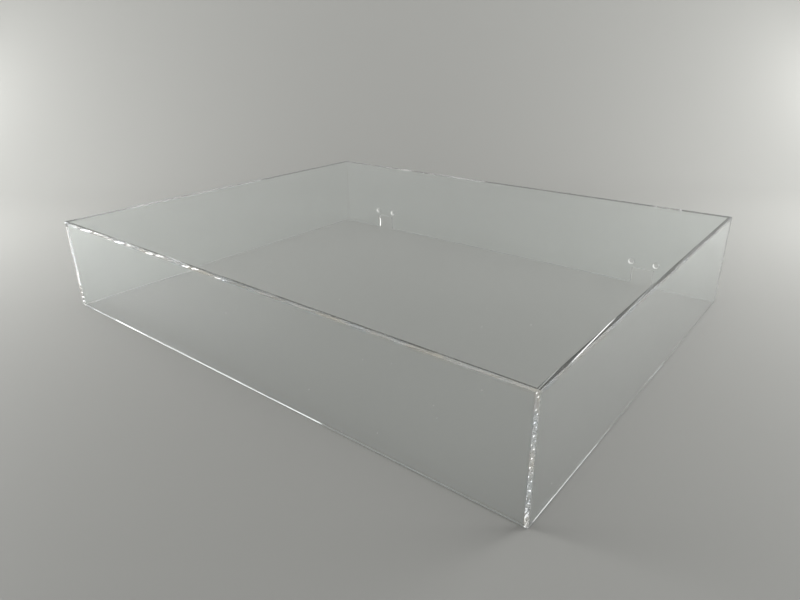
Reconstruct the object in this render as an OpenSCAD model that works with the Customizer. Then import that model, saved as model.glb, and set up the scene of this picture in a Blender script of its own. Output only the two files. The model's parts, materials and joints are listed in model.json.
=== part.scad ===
// Clear sheet hood: a low, wide cover of five bonded panels, open at the bottom.
// The back panel's lower edge is notched twice for hinges, with a pair of screw holes over each notch.
// All sizes are in millimetres. The origin is the centre of the footprint, on the surface under the rim.
// +X runs along the long front panel, +Y points to the back panel and +Z points up.

/* [Hood] */
// Overall width, along the front panel
hood_w = 450; // [300:1:600]
// Overall depth, from front face to back face
hood_d = 353; // [200:1:500]
// Overall height, from rim to top face
hood_h = 78; // [60:1:150]
// Thickness of the sheet that every panel is cut from
sheet_t = 3; // [2:0.5:6]
// Small flat along each exposed edge, left by scraping and polishing
edge_break = 0.25; // [0.1:0.05:0.5]

/* [Hinge cut-outs] */
// Distance from each side face to the centre line of the nearer cut-out
cutout_inset = 66; // [40:1:100]
// Width of a notch
notch_w = 20; // [12:0.5:30]
// Height of a notch above the rim
notch_h = 15; // [8:0.5:25]
// Radius left in a notch's upper corners by the cutter
notch_r = 0.6; // [0.4:0.1:2]
// Diameter of a screw hole
hole_d = 5; // [3:0.1:6]
// Distance between the two screw holes of a pair
hole_pitch = 23; // [18:0.5:34]
// Height of the screw holes above a notch's upper edge
hole_rise = 5.5; // [5:0.5:12]

/* [Hidden] */
// Round bores and notch corners
$fn = 64;
// Walls stand between the rim and the underside of the top panel
wall_h = hood_h - sheet_t;
// Front and back panels fit between the side panels
inner_w = hood_w - 2 * sheet_t;
// Cuts run past the sheet by this much on both faces
overrun = 1;
// Pale, slightly cool tint of clear acrylic
clear_tint = [0.86, 0.91, 0.92, 0.35];

// Corner point of a rectangle, or the two ends of the small flat that breaks it.
// inward_a and inward_b point along the two sides that leave the corner.
function corner_points(corner, broken, inward_a, inward_b) =
    broken ? [corner + edge_break * inward_a, corner + edge_break * inward_b] : [corner];

// Outline of a w by h rectangle with its lower left corner at the origin.
// broken says, anticlockwise from the lower left, which corners carry a small flat.
module sheet_outline(w, h, broken) {
    right = [1, 0];
    up = [0, 1];
    polygon([
        each corner_points([0, 0], broken[0], up, right),
        each corner_points([w, 0], broken[1], -right, up),
        each corner_points([w, h], broken[2], -up, -right),
        each corner_points([0, h], broken[3], right, -up),
    ]);
}

// Extrudes an outline drawn in X and Z along +Y
module along_y(depth) {
    translate([0, depth, 0])
        rotate([90, 0, 0])
            linear_extrude(depth)
                children();
}

// Extrudes an outline drawn in Y and Z along +X
module along_x(width) {
    rotate([90, 0, 90])
        linear_extrude(width)
            children();
}

// Flat top, laid over the upper edges of all four walls and flush with their faces
module top_panel() {
    color(clear_tint)
        translate([-hood_w / 2, -hood_d / 2, wall_h])
            intersection() {
                linear_extrude(sheet_t)
                    sheet_outline(hood_w, hood_d, [true, true, true, true]);
                along_y(hood_d)
                    sheet_outline(hood_w, sheet_t, [false, false, true, true]);
                along_x(hood_w)
                    sheet_outline(hood_d, sheet_t, [false, false, true, true]);
            }
}

// Wall that fits between the side panels, with the broken edges of its rim
module cross_wall() {
    translate([-inner_w / 2, 0, 0])
        along_x(inner_w)
            sheet_outline(sheet_t, wall_h, [true, true, false, false]);
}

module front_panel() {
    color(clear_tint)
        translate([0, -hood_d / 2, 0])
            cross_wall();
}

// Notch outline, open at the rim, with its upper corners rounded by the cutter
module notch_outline() {
    translate([-notch_w / 2, -overrun])
        square([notch_w, notch_h + overrun - notch_r]);
    translate([notch_r - notch_w / 2, 0])
        square([notch_w - 2 * notch_r, notch_h]);
    for (side = [-1, 1])
        translate([side * (notch_w / 2 - notch_r), notch_h - notch_r])
            circle(notch_r);
}

// Everything that one hinge removes from the back panel
module hinge_cutout() {
    translate([0, -overrun, 0]) {
        along_y(sheet_t + 2 * overrun)
            notch_outline();
        for (side = [-1, 1])
            translate([side * hole_pitch / 2, 0, notch_h + hole_rise])
                rotate([-90, 0, 0])
                    cylinder(d = hole_d, h = sheet_t + 2 * overrun);
    }
}

module back_panel() {
    color(clear_tint)
        translate([0, hood_d / 2 - sheet_t, 0])
            difference() {
                cross_wall();
                for (side = [-1, 1])
                    translate([side * (hood_w / 2 - cutout_inset), 0, 0])
                        hinge_cutout();
            }
}

// Full-depth side wall whose outer face looks to -X, standing on the rim
module side_wall() {
    intersection() {
        linear_extrude(wall_h)
            sheet_outline(sheet_t, hood_d, [true, false, false, true]);
        along_y(hood_d)
            sheet_outline(sheet_t, wall_h, [true, true, false, false]);
        along_x(sheet_t)
            sheet_outline(hood_d, wall_h, [true, true, false, false]);
    }
}

module left_panel() {
    color(clear_tint)
        translate([-hood_w / 2, -hood_d / 2, 0])
            side_wall();
}

module right_panel() {
    color(clear_tint)
        mirror([1, 0, 0])
            translate([-hood_w / 2, -hood_d / 2, 0])
                side_wall();
}

top_panel();
front_panel();
back_panel();
left_panel();
right_panel();
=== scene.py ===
"""Looks of a clear acrylic display hood: five bonded sheet panels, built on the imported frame."""

import json
import logging
import math
from dataclasses import dataclass, field
from enum import Enum, IntEnum

import bmesh
import bpy
from mathutils import Matrix, Quaternion, Vector


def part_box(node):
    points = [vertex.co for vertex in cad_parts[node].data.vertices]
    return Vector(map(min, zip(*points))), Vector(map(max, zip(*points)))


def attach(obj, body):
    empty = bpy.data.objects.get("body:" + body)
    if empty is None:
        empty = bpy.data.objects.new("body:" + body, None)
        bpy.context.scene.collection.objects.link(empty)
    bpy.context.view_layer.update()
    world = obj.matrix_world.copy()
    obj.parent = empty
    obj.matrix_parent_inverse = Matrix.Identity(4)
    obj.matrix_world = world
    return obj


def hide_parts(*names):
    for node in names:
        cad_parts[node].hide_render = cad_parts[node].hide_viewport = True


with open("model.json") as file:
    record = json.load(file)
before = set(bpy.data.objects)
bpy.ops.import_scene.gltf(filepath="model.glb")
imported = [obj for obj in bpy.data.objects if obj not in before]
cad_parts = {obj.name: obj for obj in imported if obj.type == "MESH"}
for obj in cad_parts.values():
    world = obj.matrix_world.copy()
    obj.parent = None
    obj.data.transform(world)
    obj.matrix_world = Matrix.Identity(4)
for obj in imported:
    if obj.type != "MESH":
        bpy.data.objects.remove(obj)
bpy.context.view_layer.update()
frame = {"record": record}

log = logging.getLogger("hood")

Colour = tuple[float, float, float]
Socket = bpy.types.NodeSocket

MILLIMETRE = 0.001
BODY = "root"
AXES = (Vector((1, 0, 0)), Vector((0, 1, 0)), Vector((0, 0, 1)))
QUARTER_TURN = math.radians(90)
# Turn that stands a flat outline up, to face the front or the back
UPRIGHT = Matrix.Rotation(QUARTER_TURN, 4, "X")
# Faces closer than this count as touching
TOUCH = 1e-6
# Scale of a pattern that is the same along each axis
EVEN = (1.0, 1.0, 1.0)
# Range of a mark that is full where it starts and gone where it ends
FADE_OUT = (1.0, 0.0)
# Where a lamp faces: across the set to the other side, or toward the camera
ACROSS = (-1.0, 0.0, 0.0)
TO_CAMERA = (0.0, -1.0, 0.0)
# The lamps beside the set: the level of their centres and their height
SIDE_LEVEL = 0.271
SIDE_TALL = 0.362
# Distance of the side panels from the middle of the set
SIDE_AWAY = 0.807


class Surface(IntEnum):
    """Material slot of each kind of face on a panel."""

    SHEET = 0
    CUT = 1
    DRILLED = 2
    SEAM = 3


class Panel(Enum):
    """CAD nodes of the hood, one for each sheet."""

    TOP = "top_panel"
    FRONT = "front_panel"
    BACK = "back_panel"
    LEFT = "left_panel"
    RIGHT = "right_panel"


class Side(IntEnum):
    """The two sides of a thing that is mirrored about its middle."""

    LEFT = -1
    RIGHT = 1


class Seen(Enum):
    """Where a lamp shows itself, apart from the light that it gives."""

    NOWHERE = "nowhere"
    THROUGH_SHEET = "through the sheet"
    IN_AND_THROUGH_SHEET = "mirrored in the sheet and through it"


@dataclass(frozen=True)
class Box:
    """Axis-aligned box in metres."""

    low: Vector
    high: Vector

    @classmethod
    def of_node(cls, panel: Panel) -> "Box":
        """Box of a CAD node at rest."""
        return cls(*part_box(panel.value))

    @property
    def size(self) -> Vector:
        """Length of each side."""
        return self.high - self.low

    @property
    def centre(self) -> Vector:
        """Middle of the box."""
        return (self.low + self.high) / 2

    def touches(self, point: Vector) -> bool:
        """True if the point lies in the box or on it."""
        return all(a - TOUCH <= p <= b + TOUCH for a, p, b in zip(self.low, point, self.high))


class ShaderGraph:
    """Short ways to add and join shader nodes in one tree."""

    def __init__(self, tree: bpy.types.NodeTree) -> None:
        """Start from an empty tree.

        Args:
            tree: the node tree to fill.
        """
        self.tree = tree
        tree.nodes.clear()

    def add(self, kind: str, **settings: object) -> bpy.types.Node:
        """Add a node.

        Args:
            kind: the node's type, without the words that all shader nodes start with.
            settings: properties to set on it.

        Returns:
            The new node.
        """
        node = self.tree.nodes.new("ShaderNode" + kind)
        for name, value in settings.items():
            setattr(node, name, value)
        return node

    def feed(self, target: Socket, value: float | Colour | Socket) -> None:
        """Set an input, or link it where the value is an output.

        Args:
            target: the input.
            value: a number, a colour or another node's output.
        """
        if isinstance(value, Socket):
            self.tree.links.new(value, target)
        elif isinstance(value, tuple):
            target.default_value = (*value, 1.0)
        else:
            target.default_value = value

    def math(self, operation: str, *values: float | Socket) -> Socket:
        """Add a Math node.

        Args:
            operation: the node's operation.
            values: its inputs in order.

        Returns:
            The node's output.
        """
        node = self.add("Math", operation=operation)
        for target, value in zip(node.inputs, values):
            self.feed(target, value)
        return node.outputs["Value"]

    def remap(self, value: Socket, start: tuple[float, float], end: tuple[float, float]) -> Socket:
        """Move a value from one range to another and clamp it there.

        Args:
            value: the value to move.
            start: the range that it comes in.
            end: the range that it leaves in.

        Returns:
            The moved value.
        """
        node = self.add("MapRange")
        numbers = (value, *start, *end)
        for name, number in zip(("Value", "From Min", "From Max", "To Min", "To Max"), numbers):
            self.feed(node.inputs[name], number)
        return node.outputs["Result"]

    def stretched_place(self, stretch: tuple[float, float, float]) -> Socket:
        """Add Object coordinates, multiplied along each axis.

        Args:
            stretch: the number that each axis is multiplied by.

        Returns:
            The stretched coordinates.
        """
        place = self.add("TexCoord")
        mapping = self.add("Mapping")
        mapping.inputs["Scale"].default_value = stretch
        self.feed(mapping.inputs["Vector"], place.outputs["Object"])
        return mapping.outputs["Vector"]

    def noise(self, place: Socket, scale: float, detail: float) -> Socket:
        """Add a noise texture.

        Args:
            place: the coordinates.
            scale: the texture's scale.
            detail: the number of finer layers.

        Returns:
            Its grey value.
        """
        node = self.add("TexNoise")
        self.feed(node.inputs["Vector"], place)
        self.feed(node.inputs["Scale"], scale)
        self.feed(node.inputs["Detail"], detail)
        return node.outputs["Fac"]

    def cells(self, place: Socket, scale: float, feature: str) -> Socket:
        """Add a cell texture.

        Args:
            place: the coordinates.
            scale: the texture's scale.
            feature: what the distance is measured to.

        Returns:
            Its distance.
        """
        node = self.add("TexVoronoi", feature=feature)
        self.feed(node.inputs["Vector"], place)
        self.feed(node.inputs["Scale"], scale)
        return node.outputs["Distance"]

    def bump(self, height: Socket, distance: float) -> Socket:
        """Turn a height into a normal.

        Args:
            height: the height, from 0 to 1.
            distance: the depth of the full height in metres.

        Returns:
            The normal.
        """
        node = self.add("Bump")
        self.feed(node.inputs["Height"], height)
        self.feed(node.inputs["Distance"], distance)
        return node.outputs["Normal"]

    def let_lamps_through(self, shown: Socket, lamp_colour: Colour | Socket) -> Socket:
        """Make a surface pass lamp light and bounced light straight on, so what it covers stays lit.

        Args:
            shown: the shader that the eye sees.
            lamp_colour: the share of the light that gets through.

        Returns:
            The mixed shader.
        """
        clear = self.add("BsdfTransparent")
        self.feed(clear.inputs["Color"], lamp_colour)
        path = self.add("LightPath")
        for ray in ("Is Shadow Ray", "Is Diffuse Ray"):
            mix = self.add("MixShader")
            self.feed(mix.inputs["Fac"], path.outputs[ray])
            self.feed(mix.inputs[1], shown)
            self.feed(mix.inputs[2], clear.outputs["BSDF"])
            shown = mix.outputs["Shader"]
        return shown

    def finish(self, surface: Socket) -> None:
        """Add the material's output."""
        output = self.add("OutputMaterial")
        self.feed(output.inputs["Surface"], surface)


def new_material(name: str) -> tuple[bpy.types.Material, ShaderGraph]:
    """Add a material.

    Args:
        name: the material's name.

    Returns:
        The material and its empty tree.
    """
    material = bpy.data.materials.new(name)
    material.use_nodes = True
    return material, ShaderGraph(material.node_tree)


@dataclass(frozen=True)
class HandlingMarks:
    """Shader group: smears, hairline scratches and dust that polished acrylic picks up."""

    name: str = "handling_marks"
    smear_scale: float = 9.0
    smear_detail: float = 3.0
    # Noise levels where a smear starts and where it is full, and the roughness at each
    smear_band: tuple[float, float] = (0.55, 0.8)
    smear_rough: tuple[float, float] = (0.0, 0.03)
    scratch_scale: float = 1.0
    scratch_stretch: tuple[float, float, float] = (7.0, 45.0, 45.0)
    # Distances where a scratch is full and where it is gone, and the roughness that it adds
    scratch_band: tuple[float, float] = (0.0, 0.0025)
    scratch_rough: float = 0.12
    dust_scale: float = 95.0
    # Distances where a speck of dust is full and where it is gone, and the roughness that it adds
    dust_band: tuple[float, float] = (0.02, 0.035)
    dust_rough: float = 0.5

    def make(self) -> bpy.types.NodeTree:
        """Build the group.

        Returns:
            A group that takes an Amount and gives Roughness and Height.
        """
        tree = bpy.data.node_groups.new(self.name, "ShaderNodeTree")
        tree.interface.new_socket("Amount", in_out="INPUT", socket_type="NodeSocketFloat")
        tree.interface.new_socket("Roughness", in_out="OUTPUT", socket_type="NodeSocketFloat")
        tree.interface.new_socket("Height", in_out="OUTPUT", socket_type="NodeSocketFloat")
        graph = ShaderGraph(tree)
        start = tree.nodes.new("NodeGroupInput")
        end = tree.nodes.new("NodeGroupOutput")
        place = graph.stretched_place(EVEN)
        cloud = graph.noise(place, self.smear_scale, self.smear_detail)
        smear = graph.remap(cloud, self.smear_band, self.smear_rough)
        along = graph.stretched_place(self.scratch_stretch)
        crack = graph.cells(along, self.scratch_scale, "DISTANCE_TO_EDGE")
        scratch = graph.remap(crack, self.scratch_band, FADE_OUT)
        speck = graph.remap(graph.cells(place, self.dust_scale, "F1"), self.dust_band, FADE_OUT)
        rough = graph.math("MULTIPLY_ADD", scratch, self.scratch_rough, smear)
        rough = graph.math("MULTIPLY_ADD", speck, self.dust_rough, rough)
        graph.feed(end.inputs["Roughness"], graph.math("MULTIPLY", rough, start.outputs["Amount"]))
        height = graph.math("SUBTRACT", speck, scratch)
        graph.feed(end.inputs["Height"], graph.math("MULTIPLY", height, start.outputs["Amount"]))
        return tree


@dataclass(frozen=True)
class ClearFinish:
    """Clear acrylic that bends light as a solid, with the marks of handling on it."""

    name: str
    tint: Colour
    marks: float
    ior: float = 1.49
    mark_depth: float = 0.002 * MILLIMETRE
    transmission: float = 1.0
    # Share of lamp light that a face's marks scatter aside
    lamp_loss: float = 0.01
    # How sharply lamp light falls off toward grazing
    grazing_power: float = 5.0

    def lamp_share(self, graph: ShaderGraph) -> Colour | Socket:
        """Share of lamp light that one face passes, which falls off toward grazing light.

        Args:
            graph: the material's nodes.

        Returns:
            The share, as a colour or as a node's output.
        """
        # What a clear face passes straight on, less what its marks scatter
        straight_on = (1.0 - ((self.ior - 1.0) / (self.ior + 1.0)) ** 2) * (1.0 - self.lamp_loss)
        weight = graph.add("LayerWeight")
        grazing = graph.math("POWER", weight.outputs["Facing"], self.grazing_power)
        return graph.math("MULTIPLY", graph.math("SUBTRACT", 1.0, grazing), straight_on)

    def make(self, marks_group: bpy.types.NodeTree) -> bpy.types.Material:
        """Build the material.

        Args:
            marks_group: the group of handling marks.

        Returns:
            The new material.
        """
        material, graph = new_material(self.name)
        glass = graph.add("BsdfPrincipled")
        graph.feed(glass.inputs["IOR"], self.ior)
        graph.feed(glass.inputs["Transmission Weight"], self.transmission)
        marks = graph.add("Group", node_tree=marks_group)
        graph.feed(marks.inputs["Amount"], self.marks)
        self.dress(graph, glass, marks)
        shown = graph.let_lamps_through(glass.outputs["BSDF"], self.lamp_share(graph))
        graph.finish(shown)
        return material

    def dress(self, graph: ShaderGraph, glass: bpy.types.Node, marks: bpy.types.Node) -> None:
        """Give the shader its tint, its gloss and its marks.

        Args:
            graph: the material's nodes.
            glass: the shader.
            marks: the placed group of handling marks.
        """
        graph.feed(glass.inputs["Base Color"], self.tint)
        inside = graph.add("NewGeometry").outputs["Backfacing"]
        outside = graph.math("SUBTRACT", 1.0, inside)
        rough = graph.math("MULTIPLY", marks.outputs["Roughness"], outside)
        graph.feed(glass.inputs["Roughness"], rough)
        height = graph.math("MULTIPLY", marks.outputs["Height"], outside)
        graph.feed(glass.inputs["Normal"], graph.bump(height, self.mark_depth))


@dataclass(frozen=True)
class CutFinish(ClearFinish):
    """Polished cut edge with fine polishing lines; yellowish and bluish glints are painted into its
    colour, standing in for light that the edge splits.
    """

    # Colours of the painted glints, yellowish and bluish
    painted_warm_glint: Colour = (1.0, 0.965, 0.88)
    painted_cool_glint: Colour = (0.88, 0.945, 1.0)
    painted_glint_scale: float = 55.0
    painted_glint_detail: float = 1.0
    # Noise levels where the painted glint colour is yellowish, plain and bluish
    warm_level: float = 0.36
    plain_level: float = 0.5
    cool_level: float = 0.64
    line_scale: float = 900.0
    line_detail: float = 2.0
    line_depth: float = 0.0004 * MILLIMETRE
    # Noise levels where a polishing line starts and where it is full, and the roughness at each
    line_band: tuple[float, float] = (0.45, 0.75)
    gloss: tuple[float, float] = (0.0, 0.015)
    # Most lamp light that meets a cut edge is turned aside, so the edge throws a shadow
    lamp_colour: Colour = (0.25, 0.25, 0.25)

    def lamp_share(self, graph: ShaderGraph) -> Colour | Socket:
        """Share of lamp light that goes straight on, the same all over the edge."""
        return self.lamp_colour

    def dress(self, graph: ShaderGraph, glass: bpy.types.Node, marks: bpy.types.Node) -> None:
        """Give the edge its painted glints, its polishing lines and its marks.

        Args:
            graph: the material's nodes.
            glass: the shader.
            marks: the placed group of handling marks.
        """
        place = graph.stretched_place(EVEN)
        # Painted glints: noise lays yellowish and bluish tints on the edge's colour in place of split
        # light
        ramp = graph.add("ValToRGB")
        graph.feed(ramp.inputs["Fac"], graph.noise(place, self.painted_glint_scale, self.painted_glint_detail))
        warm_stop, cool_stop = ramp.color_ramp.elements
        warm_stop.position = self.warm_level
        warm_stop.color = (*self.painted_warm_glint, 1.0)
        cool_stop.position = self.cool_level
        cool_stop.color = (*self.painted_cool_glint, 1.0)
        ramp.color_ramp.elements.new(self.plain_level).color = (*self.tint, 1.0)
        graph.feed(glass.inputs["Base Color"], ramp.outputs["Color"])
        lines = graph.noise(place, self.line_scale, self.line_detail)
        gloss = graph.remap(lines, self.line_band, self.gloss)
        graph.feed(glass.inputs["Roughness"], graph.math("ADD", gloss, marks.outputs["Roughness"]))
        graph.feed(glass.inputs["Normal"], graph.bump(lines, self.line_depth))


@dataclass(frozen=True)
class DrilledFinish(ClearFinish):
    """Wall of a screw hole as the drill left it: white with frosting, with fine tool lines, and with a
    darker painted shade where it is seen from inside the sheet.
    """

    transmission: float = 0.0
    # Colour of the wall where it is seen through the sheet, from behind its frosting: a darker grey that
    # is painted shade
    behind: Colour = (0.4, 0.4, 0.39)
    line_scale: float = 1500.0
    line_detail: float = 2.0
    line_stretch: tuple[float, float, float] = (1.0, 0.1, 1.0)
    line_depth: float = 0.004 * MILLIMETRE
    # Noise levels where a tool line starts and where it is full, and the roughness at each
    line_band: tuple[float, float] = (0.3, 0.7)
    gloss: tuple[float, float] = (0.3, 0.55)

    def dress(self, graph: ShaderGraph, glass: bpy.types.Node, marks: bpy.types.Node) -> None:
        """Give the wall its frosting, the painted shade on its back and its tool lines.

        Args:
            graph: the material's nodes.
            glass: the shader.
            marks: the placed group of handling marks.
        """
        # Painted shade: the back of the wall, seen from inside the sheet, gets the darker grey
        sides = graph.add("MixRGB")
        graph.feed(sides.inputs["Fac"], graph.add("NewGeometry").outputs["Backfacing"])
        graph.feed(sides.inputs["Color1"], self.tint)
        graph.feed(sides.inputs["Color2"], self.behind)
        graph.feed(glass.inputs["Base Color"], sides.outputs["Color"])
        place = graph.stretched_place(self.line_stretch)
        lines = graph.noise(place, self.line_scale, self.line_detail)
        gloss = graph.remap(lines, self.line_band, self.gloss)
        graph.feed(glass.inputs["Roughness"], graph.math("ADD", gloss, marks.outputs["Roughness"]))
        graph.feed(glass.inputs["Normal"], graph.bump(lines, self.line_depth))


@dataclass(frozen=True)
class SeamFinish:
    """Solvent-bonded face: the two sheets have become one there, apart from a few small bubbles."""

    name: str
    bubble_colour: Colour
    bubble_scale: float = 420.0
    # Distances where a bubble covers most and where only haze is left
    bubble_band: tuple[float, float] = (0.06, 0.12)
    bubble_cover: float = 0.5
    haze: float = 0.03
    roughness: float = 0.3
    # Straight lamp light seldom gets round a bonded corner, so the corner throws a soft shadow
    lamp_colour: Colour = (0.2, 0.2, 0.2)

    def make(self) -> bpy.types.Material:
        """Build the material.

        Returns:
            The new material.
        """
        material, graph = new_material(self.name)
        film = graph.add("BsdfPrincipled")
        graph.feed(film.inputs["Base Color"], self.bubble_colour)
        graph.feed(film.inputs["Roughness"], self.roughness)
        bubble = graph.cells(graph.stretched_place(EVEN), self.bubble_scale, "F1")
        cover = graph.remap(bubble, self.bubble_band, (self.bubble_cover, self.haze))
        graph.feed(film.inputs["Alpha"], cover)
        graph.finish(graph.let_lamps_through(film.outputs["BSDF"], self.lamp_colour))
        return material


@dataclass(frozen=True)
class Finishes:
    """The finishes of a panel."""

    marks: HandlingMarks = HandlingMarks()
    sheet: ClearFinish = ClearFinish("clear_sheet", (0.972, 0.996, 0.993), marks=1.0)
    cut: CutFinish = CutFinish("cut_edge", (1.0, 1.0, 1.0), marks=0.6)
    drilled: DrilledFinish = DrilledFinish("drilled_wall", (0.98, 0.96, 0.95), marks=0.6)
    seam: SeamFinish = SeamFinish("bonded_seam", (0.9, 0.92, 0.93))

    def make(self) -> list[bpy.types.Material]:
        """Build the materials.

        Returns:
            The materials in the order of Surface.
        """
        marks_group = self.marks.make()
        clear = [finish.make(marks_group) for finish in (self.sheet, self.cut, self.drilled)]
        return [*clear, self.seam.make()]


def score_line(mesh: bmesh.types.BMesh, point: Vector, normal: Vector) -> None:
    """Split a whole mesh along a plane and keep both sides.

    Args:
        mesh: the mesh to split.
        point: a point on the plane.
        normal: the plane's normal.
    """
    everything = [*mesh.verts, *mesh.edges, *mesh.faces]
    bmesh.ops.bisect_plane(mesh, geom=everything, dist=TOUCH, plane_co=point, plane_no=normal)


def bevel_edges(
    mesh: bmesh.types.BMesh, edges: list[bmesh.types.BMEdge], offset: float, segments: int,
) -> list[bmesh.types.BMFace]:
    """Bevel some edges of a mesh.

    Args:
        mesh: the mesh.
        edges: the edges to bevel.
        offset: the width that is taken off the faces beside them.
        segments: one for a flat and more for a round.

    Returns:
        The new faces.
    """
    made = bmesh.ops.bevel(
        mesh, geom=edges, offset=offset, offset_type="OFFSET", segments=segments, profile=0.5,
        affect="EDGES", material=-1, clamp_overlap=True,
    )
    return made["faces"]


def add_object(
    name: str, mesh: bmesh.types.BMesh, materials: list[bpy.types.Material],
) -> bpy.types.Object:
    """Turn a finished mesh into an object of the scene.

    Args:
        name: the object's name.
        mesh: the mesh, which is used up.
        materials: its materials in the order of their slots.

    Returns:
        The new object.
    """
    data = bpy.data.meshes.new(name)
    mesh.to_mesh(data)
    mesh.free()
    for material in materials:
        data.materials.append(material)
    thing = bpy.data.objects.new(name, data)
    bpy.context.scene.collection.objects.link(thing)
    return thing


@dataclass
class SheetPanel:
    """One sheet of the hood, with its seams split off and its exposed edges broken."""

    panel: Panel
    materials: list[bpy.types.Material]
    # A broken edge is a single flat
    edge_break: float = 0.25 * MILLIMETRE
    break_segments: int = 1
    # A face whose normal has less than this along the sheet's thickness is a cut edge
    edge_on: float = 0.5
    # Edges that turn by more than this are broken
    sharp_turn: float = math.radians(60)
    # Facets that meet at less than this are shaded as one curve
    smooth_turn: float = math.radians(15)
    box: Box = field(init=False)
    neighbours: list[Box] = field(init=False)

    def __post_init__(self) -> None:
        """Read the panel's box and those of the other panels."""
        self.box = Box.of_node(self.panel)
        self.neighbours = [Box.of_node(other) for other in Panel if other is not self.panel]

    def blank(self) -> bmesh.types.BMesh:
        """Cut the plain sheet.

        Returns:
            A closed block of the panel's size, in place.
        """
        mesh = bmesh.new()
        bmesh.ops.create_cube(mesh, size=1.0)
        bmesh.ops.scale(mesh, vec=self.box.size, verts=mesh.verts)
        bmesh.ops.translate(mesh, vec=self.box.centre, verts=mesh.verts)
        return mesh

    def split_seams(self, mesh: bmesh.types.BMesh) -> None:
        """Split the faces along the planes of every neighbour that meets the sheet.

        Args:
            mesh: the sheet to split.
        """
        for neighbour in self.neighbours:
            for corner in (neighbour.low, neighbour.high):
                for index, axis in enumerate(AXES):
                    if self.box.low[index] + TOUCH < corner[index] < self.box.high[index] - TOUCH:
                        score_line(mesh, axis * corner[index], axis)

    def sort_faces(self, mesh: bmesh.types.BMesh) -> None:
        """Give each face the slot of its kind: broad face, cut edge or bonded seam.

        Args:
            mesh: the split sheet.
        """
        thin = min(range(len(AXES)), key=lambda index: self.box.size[index])
        for face in mesh.faces:
            middle = face.calc_center_median()
            if any(neighbour.touches(middle) for neighbour in self.neighbours):
                face.material_index = Surface.SEAM
            elif abs(face.normal[thin]) < self.edge_on:
                face.material_index = self.cut_kind(face)
            else:
                face.material_index = Surface.SHEET

    def cut_kind(self, face: bmesh.types.BMFace) -> Surface:
        """Slot of a cut face: the edges of a plain sheet are polished."""
        return Surface.CUT

    def break_edges(self, mesh: bmesh.types.BMesh) -> None:
        """Put a small flat on the sharp edges that no seam covers.

        Args:
            mesh: the sheet with its slots set.
        """
        sharp = []
        for edge in mesh.edges:
            slots = {face.material_index for face in edge.link_faces}
            if Surface.SEAM not in slots and edge.calc_face_angle(0.0) > self.sharp_turn:
                sharp.append(edge)
        for face in bevel_edges(mesh, sharp, self.edge_break, self.break_segments):
            face.material_index = self.cut_kind(face)

    def build(self) -> bpy.types.Object:
        """Make the finished piece and let it stand for its CAD node.

        Returns:
            The new object.
        """
        mesh = self.blank()
        self.split_seams(mesh)
        mesh.normal_update()
        self.sort_faces(mesh)
        self.break_edges(mesh)
        piece = add_object(self.panel.value.replace("panel", "sheet"), mesh, self.materials)
        piece.data.set_sharp_from_angle(angle=self.smooth_turn)
        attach(piece, BODY)
        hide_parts(self.panel.value)
        return piece


@dataclass
class HingeCutout:
    """One hinge's notch and screw holes in the back sheet, in the plane of the sheet."""

    centre_x: float
    hole_height: float
    hole_pitch: float
    hole_radius: float
    notch_width: float = 20 * MILLIMETRE
    notch_height: float = 15 * MILLIMETRE

    @classmethod
    def of_mount(cls, mount: dict) -> "HingeCutout":
        """Read one pair of screw holes from the record.

        Args:
            mount: the pair's mount.

        Returns:
            The cut-out that the pair belongs to.
        """
        dims = mount["dims"]
        return cls(
            centre_x=mount["pos_m"][0],
            hole_height=mount["pos_m"][2],
            hole_pitch=dims["spacing_x_mm"] * MILLIMETRE,
            hole_radius=dims["hole_r_mm"] * MILLIMETRE,
        )

    def notch_sides(self) -> list[float]:
        """X of the notch's two upright sides."""
        return [self.centre_x + side * self.notch_width / 2 for side in Side]

    def hole_places(self) -> list[tuple[float, float]]:
        """X and Z of the two screw holes."""
        return [(self.centre_x + side * self.hole_pitch / 2, self.hole_height) for side in Side]

    def in_notch(self, point: Vector) -> bool:
        """True if the point lies inside the notch's outline."""
        return abs(point.x - self.centre_x) < self.notch_width / 2 and point.z < self.notch_height

    def at_upper_corner(self, point: Vector) -> bool:
        """True if the point lies on one of the notch's two upper corners."""
        level = abs(point.z - self.notch_height) < TOUCH
        return level and any(abs(point.x - x) < TOUCH for x in self.notch_sides())


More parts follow.
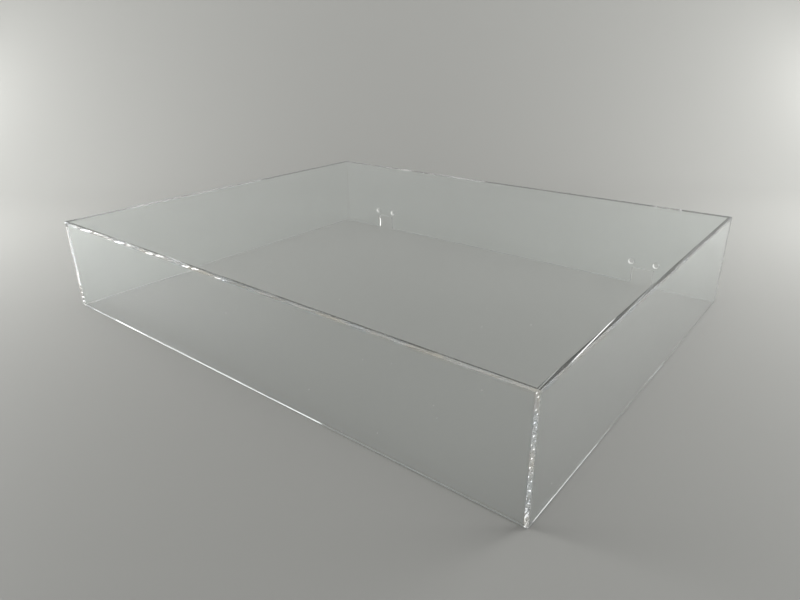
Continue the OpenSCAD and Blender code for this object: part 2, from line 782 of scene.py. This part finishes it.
@dataclass
class BackSheet(SheetPanel):
    """The back sheet, with its two hinge notches and their screw holes."""

    # Half the side of the square that a screw hole is set in
    half_cell: float = 4 * MILLIMETRE
    hole_steps: int = 32
    # Flat that the drill's burr is cut away with
    hole_break: float = 0.3 * MILLIMETRE
    # Radius that the cutter leaves in a notch's upper corners
    corner_radius: float = 0.6 * MILLIMETRE
    corner_segments: int = 6
    cutouts: list[HingeCutout] = field(init=False)

    def __post_init__(self) -> None:
        """Read the screw holes' places from the record's mounts."""
        super().__post_init__()
        mounts = frame["record"]["mounts"]
        hole_pairs = [mount for mount in mounts if mount["kind"] == "bolt_pattern"]
        self.cutouts = [HingeCutout.of_mount(mount) for mount in hole_pairs]

    def blank(self) -> bmesh.types.BMesh:
        """Cut the sheet's outline with its notches and holes, then give it its thickness.

        Returns:
            A closed sheet, in place.
        """
        mesh = bmesh.new()
        size = self.box.size
        to_front = Matrix.Translation((self.box.centre.x, self.box.low.y, self.box.centre.z))
        stretch = Matrix.Diagonal((size.x / 2, 1.0, size.z / 2, 1.0))
        place = to_front @ stretch @ UPRIGHT
        bmesh.ops.create_grid(mesh, x_segments=1, y_segments=1, size=1.0, matrix=place)
        for cutout in self.cutouts:
            self.score(mesh, cutout)
        for cutout in self.cutouts:
            notch = [face for face in mesh.faces if cutout.in_notch(face.calc_center_median())]
            bmesh.ops.delete(mesh, geom=notch, context="FACES")
            for x, z in cutout.hole_places():
                self.drill(mesh, Vector((x, self.box.low.y, z)), cutout.hole_radius)
        raised = bmesh.ops.extrude_face_region(mesh, geom=mesh.faces[:])
        lifted = [item for item in raised["geom"] if isinstance(item, bmesh.types.BMVert)]
        bmesh.ops.translate(mesh, vec=(0.0, size.y, 0.0), verts=lifted)
        bmesh.ops.recalc_face_normals(mesh, faces=mesh.faces)
        self.round_corners(mesh)
        return mesh

    def cut_kind(self, face: bmesh.types.BMFace) -> Surface:
        """Slot of a cut face: the rim and the notches are polished and the holes are as drilled.

        Args:
            face: a cut face.

        Returns:
            Its slot.
        """
        notch_top = max(cutout.notch_height for cutout in self.cutouts)
        polished = face.calc_center_median().z < notch_top + self.edge_break
        return Surface.CUT if polished else Surface.DRILLED

    def score(self, mesh: bmesh.types.BMesh, cutout: HingeCutout) -> None:
        """Split the flat outline along a notch's sides and round the cells of its holes.

        Args:
            mesh: the flat outline.
            cutout: the notch and holes to mark out.
        """
        across, _, upward = AXES
        upright_lines = cutout.notch_sides()
        level_lines = [cutout.notch_height]
        for side in Side:
            upright_lines += [x + side * self.half_cell for x, _ in cutout.hole_places()]
            level_lines.append(cutout.hole_height + side * self.half_cell)
        for x in upright_lines:
            score_line(mesh, across * x, across)
        for z in level_lines:
            score_line(mesh, upward * z, upward)

    def drill(self, mesh: bmesh.types.BMesh, centre: Vector, radius: float) -> None:
        """Take one round hole out of the flat outline.

        Args:
            mesh: the scored outline.
            centre: the hole's centre.
            radius: the hole's radius.
        """
        cell = []
        for face in mesh.faces:
            away = face.calc_center_median() - centre
            if max(abs(away.x), abs(away.z)) < self.half_cell:
                cell.append(face)
        joined = bmesh.utils.face_join(cell) if len(cell) > 1 else cell[0]
        border = list(joined.edges)
        bmesh.ops.delete(mesh, geom=[joined], context="FACES_ONLY")
        place = Matrix.Translation(centre) @ UPRIGHT
        ring = bmesh.ops.create_circle(
            mesh, cap_ends=False, radius=radius, segments=self.hole_steps, matrix=place,
        )
        # Each edge once, in the order of the ring
        ring_edges = list(dict.fromkeys(edge for vert in ring["verts"] for edge in vert.link_edges))
        bmesh.ops.triangle_fill(mesh, edges=border + ring_edges, use_beauty=True, use_dissolve=False)

    def on_hole_mouth(self, edge: bmesh.types.BMEdge) -> bool:
        """True if an edge is part of the round where a screw hole meets a broad face.

        Args:
            edge: an edge of the sheet.

        Returns:
            Whether both of its ends lie on one hole's round and at the same depth.
        """
        first, second = (vert.co for vert in edge.verts)
        if abs(first.y - second.y) > TOUCH:
            return False
        for cutout in self.cutouts:
            for x, z in cutout.hole_places():
                reach = [math.hypot(end.x - x, end.z - z) for end in (first, second)]
                if all(abs(length - cutout.hole_radius) < TOUCH for length in reach):
                    return True
        return False

    def in_notch_corner(self, edge: bmesh.types.BMEdge) -> bool:
        """True if an edge runs through the sheet in an upper corner of a notch.

        Args:
            edge: an edge of the sheet.

        Returns:
            Whether both of its ends lie in one notch's upper corners and at different depths.
        """
        first, second = (vert.co for vert in edge.verts)
        if abs(first.y - second.y) <= TOUCH:
            return False
        return any(cut.at_upper_corner(first) and cut.at_upper_corner(second) for cut in self.cutouts)

    def break_edges(self, mesh: bmesh.types.BMesh) -> None:
        """Take the burr off the screw holes, then break the other sharp edges.

        Args:
            mesh: the sheet with its slots set.
        """
        mouths = [edge for edge in mesh.edges if self.on_hole_mouth(edge)]
        for face in bevel_edges(mesh, mouths, self.hole_break, self.break_segments):
            face.material_index = Surface.DRILLED
        super().break_edges(mesh)

    def round_corners(self, mesh: bmesh.types.BMesh) -> None:
        """Round the upper corners of the notches, as the cutter leaves them.

        Args:
            mesh: the sheet with its thickness.
        """
        corners = [edge for edge in mesh.edges if self.in_notch_corner(edge)]
        bevel_edges(mesh, corners, self.corner_radius, self.corner_segments)


@dataclass(frozen=True)
class SoftBox:
    """A soft lamp on one side of the set or on both, in metres, placed as on the right-hand side."""

    name: str
    centre: tuple[float, float, float]
    size: tuple[float, float]
    facing: tuple[float, float, float]
    radiance: float
    seen: Seen = Seen.NOWHERE
    sides: tuple[Side, ...] = (Side.LEFT, Side.RIGHT)
    # Turn about the line that it faces along
    roll: float = 0.0

    @classmethod
    def side_panel(cls, name: str, along: float, width: float, radiance: float, side: Side) -> "SoftBox":
        """Plan one of the upright panels beside the set.

        Args:
            name: the panel's name.
            along: its distance behind the middle of the set.
            width: its width.
            radiance: its brightness.
            side: the side of the set that it stands on.

        Returns:
            The planned panel.
        """
        centre = (SIDE_AWAY, along, SIDE_LEVEL)
        size = (width, SIDE_TALL)
        return cls(name, centre, size, ACROSS, radiance, Seen.IN_AND_THROUGH_SHEET, (side,))

    def make(self, side: Side, turn: Matrix) -> bpy.types.Object:
        """Hang one lamp.

        Args:
            side: the side of the set.
            turn: the turn from the studio's frame to the hood's.

        Returns:
            The lamp.
        """
        data = bpy.data.lights.new(f"{self.name}_{side.name.lower()}", "AREA")
        data.shape = "RECTANGLE"
        data.size, data.size_y = self.size
        # A matt panel gives off pi times its radiance from each square metre
        data.energy = math.pi * self.radiance * data.size * data.size_y
        lamp = bpy.data.objects.new(data.name, data)
        mirror = Matrix.Diagonal((side, 1, 1, 1))
        lamp.location = turn @ mirror @ Vector(self.centre)
        aim = turn @ mirror @ Vector(self.facing)
        lean = Quaternion((0, 0, 1), side * self.roll)
        lamp.rotation_euler = (aim.to_track_quat("-Z", "Y") @ lean).to_euler()
        lamp.visible_camera = False
        lamp.visible_glossy = self.seen is Seen.IN_AND_THROUGH_SHEET
        lamp.visible_transmission = self.seen is not Seen.NOWHERE
        bpy.context.scene.collection.objects.link(lamp)
        return lamp


@dataclass(frozen=True)
class Paper:
    """Plain grey background paper."""

    name: str = "grey_paper"
    colour: Colour = (0.378, 0.379, 0.361)
    roughness: float = 0.55

    def make(self) -> bpy.types.Material:
        """Build the material.

        Returns:
            The new material.
        """
        material, graph = new_material(self.name)
        paper = graph.add("BsdfPrincipled")
        graph.feed(paper.inputs["Base Color"], self.colour)
        graph.feed(paper.inputs["Roughness"], self.roughness)
        graph.finish(paper.outputs["BSDF"])
        return material


@dataclass
class Studio:
    """Floor, backdrop, lamps and camera, in a frame that faces along the camera's view."""

    # The camera, fitted to the corners of the hood in the photograph
    azimuth: float = math.radians(39.03)
    elevation: float = math.radians(23.04)
    roll: float = math.radians(-0.63)
    camera_place: Vector = field(default_factory=lambda: Vector((0.003, -0.506, 0.218)))
    lens: float = 27.37
    clip_start: float = 0.01
    # The floor lies this far under the rim
    floor_gap: float = 0.05 * MILLIMETRE
    floor_half: float = 2.5
    # The backdrop: where it leaves the floor, its bend, its height over the bend and half its width
    bend_start: float = 0.42
    bend_radius: float = 0.5
    bend_steps: int = 48
    wall_height: float = 2.0
    wall_half: float = 1.0
    # Strength of the even light from all round
    room_light: float = 0.37
    # Light that is guided along a sheet is turned back at its faces hundreds of times
    bounces: int = 1024
    lamps: tuple[SoftBox, ...] = (
        # These are mirrored in the sheet and bent by its edges
        SoftBox.side_panel("near_panel", -0.191, 0.142, 1.3, Side.RIGHT),
        SoftBox.side_panel("mid_panel", -0.063, 0.114, 2.5, Side.RIGHT),
        SoftBox.side_panel("far_panel", 0.108, 0.228, 1.6, Side.RIGHT),
        SoftBox.side_panel("mid_panel", -0.0345, 0.171, 1.5, Side.LEFT),
        SoftBox.side_panel("far_panel", 0.1365, 0.171, 3.0, Side.LEFT),
        # These light the floor and the backdrop from both sides
        SoftBox("side_lamp", (0.81, -0.02, SIDE_LEVEL), (0.484, SIDE_TALL), ACROSS, 8.2),
        SoftBox("backdrop_lamp", (0.96, 0.391, 0.275), (0.714, 0.31), ACROSS, 7.6),
        # These glint in the edges
        SoftBox(
            "high_strip", (0.485, 0.86, 0.56), (0.64, 0.1), TO_CAMERA, 0.9,
            Seen.THROUGH_SHEET, (Side.LEFT,), roll=math.radians(32),
        ),
        SoftBox(
            "high_panel", (0.46, 0.86, 0.93), (0.17, 0.27), TO_CAMERA, 0.8,
            Seen.THROUGH_SHEET, (Side.RIGHT,),
        ),
    )

    @property
    def turn(self) -> Matrix:
        """Turn from the studio's frame to the hood's."""
        return Matrix.Rotation(self.azimuth, 4, "Z")

    def place_stage(self, name: str, mesh: bmesh.types.BMesh, material: bpy.types.Material) -> None:
        """Turn a mesh into the hood's frame and add it as part of the stage.

        Args:
            name: the object's name.
            mesh: the mesh in the studio's frame, which is used up.
            material: its material.
        """
        drop = Matrix.Translation((0, 0, -self.floor_gap))
        bmesh.ops.transform(mesh, matrix=drop @ self.turn, verts=mesh.verts)
        thing = add_object(name, mesh, [material])
        thing.data.shade_smooth()

    def build_floor(self, material: bpy.types.Material) -> None:
        """Lay the floor.

        Args:
            material: its material.
        """
        mesh = bmesh.new()
        bmesh.ops.create_grid(mesh, x_segments=1, y_segments=1, size=self.floor_half)
        self.place_stage("floor", mesh, material)

    def build_backdrop(self, material: bpy.types.Material) -> None:
        """Curve the backdrop up from the floor.

        Args:
            material: its material.
        """
        mesh = bmesh.new()
        foot = mesh.verts.new((-self.wall_half, self.bend_start, 0.0))
        bmesh.ops.spin(
            mesh, geom=[foot], cent=(0.0, self.bend_start, self.bend_radius), axis=AXES[0], dvec=(0, 0, 0),
            angle=QUARTER_TURN, steps=self.bend_steps, use_merge=False, use_normal_flip=False,
            use_duplicate=False,
        )
        crest = max(mesh.verts, key=lambda vert: vert.co.z)
        raised = bmesh.ops.extrude_vert_indiv(mesh, verts=[crest])
        bmesh.ops.translate(mesh, vec=(0, 0, self.wall_height), verts=raised["verts"])
        swept = bmesh.ops.extrude_edge_only(mesh, edges=mesh.edges[:])
        moved = [item for item in swept["geom"] if isinstance(item, bmesh.types.BMVert)]
        bmesh.ops.translate(mesh, vec=(2 * self.wall_half, 0, 0), verts=moved)
        bmesh.ops.recalc_face_normals(mesh, faces=mesh.faces)
        self.place_stage("backdrop", mesh, material)

    def build_world(self) -> None:
        """Fill the room with even light."""
        world = bpy.data.worlds.new("even_room")
        world.use_nodes = True
        graph = ShaderGraph(world.node_tree)
        background = graph.add("Background")
        graph.feed(background.inputs["Color"], (1.0, 1.0, 1.0))
        graph.feed(background.inputs["Strength"], self.room_light)
        output = graph.add("OutputWorld")
        graph.feed(output.inputs["Surface"], background.outputs["Background"])
        bpy.context.scene.world = world

    def build_camera(self) -> None:
        """Put the camera where the photograph was taken from."""
        data = bpy.data.cameras.new("camera")
        data.lens = self.lens
        data.clip_start = self.clip_start
        camera = bpy.data.objects.new("camera", data)
        tilt = Quaternion((1, 0, 0), QUARTER_TURN - self.elevation)
        heading = Quaternion((0, 0, 1), self.azimuth)
        lean = Quaternion((0, 0, 1), self.roll)
        camera.rotation_mode = "QUATERNION"
        camera.rotation_quaternion = heading @ tilt @ lean
        camera.location = self.turn @ self.camera_place
        bpy.context.scene.collection.objects.link(camera)
        bpy.context.scene.camera = camera

    def build(self) -> None:
        """Set up the whole studio."""
        self.build_camera()
        paper = Paper().make()
        self.build_floor(paper)
        self.build_backdrop(paper)
        for lamp in self.lamps:
            for side in lamp.sides:
                lamp.make(side, self.turn)
        self.build_world()
        scene = bpy.context.scene
        scene.view_settings.view_transform = "Standard"
        scene.cycles.max_bounces = self.bounces
        scene.cycles.transmission_bounces = self.bounces
        scene.cycles.glossy_bounces = self.bounces
        scene.cycles.transparent_max_bounces = self.bounces


def main() -> None:
    """Build the hood and its studio."""
    logging.basicConfig(level=logging.INFO, format="%(name)s: %(message)s")
    materials = Finishes().make()
    for panel in Panel:
        maker = BackSheet if panel is Panel.BACK else SheetPanel
        piece = maker(panel, materials).build()
        log.info("%s: %d faces", piece.name, len(piece.data.polygons))
    Studio().build()


if __name__ == "__main__":
    main()
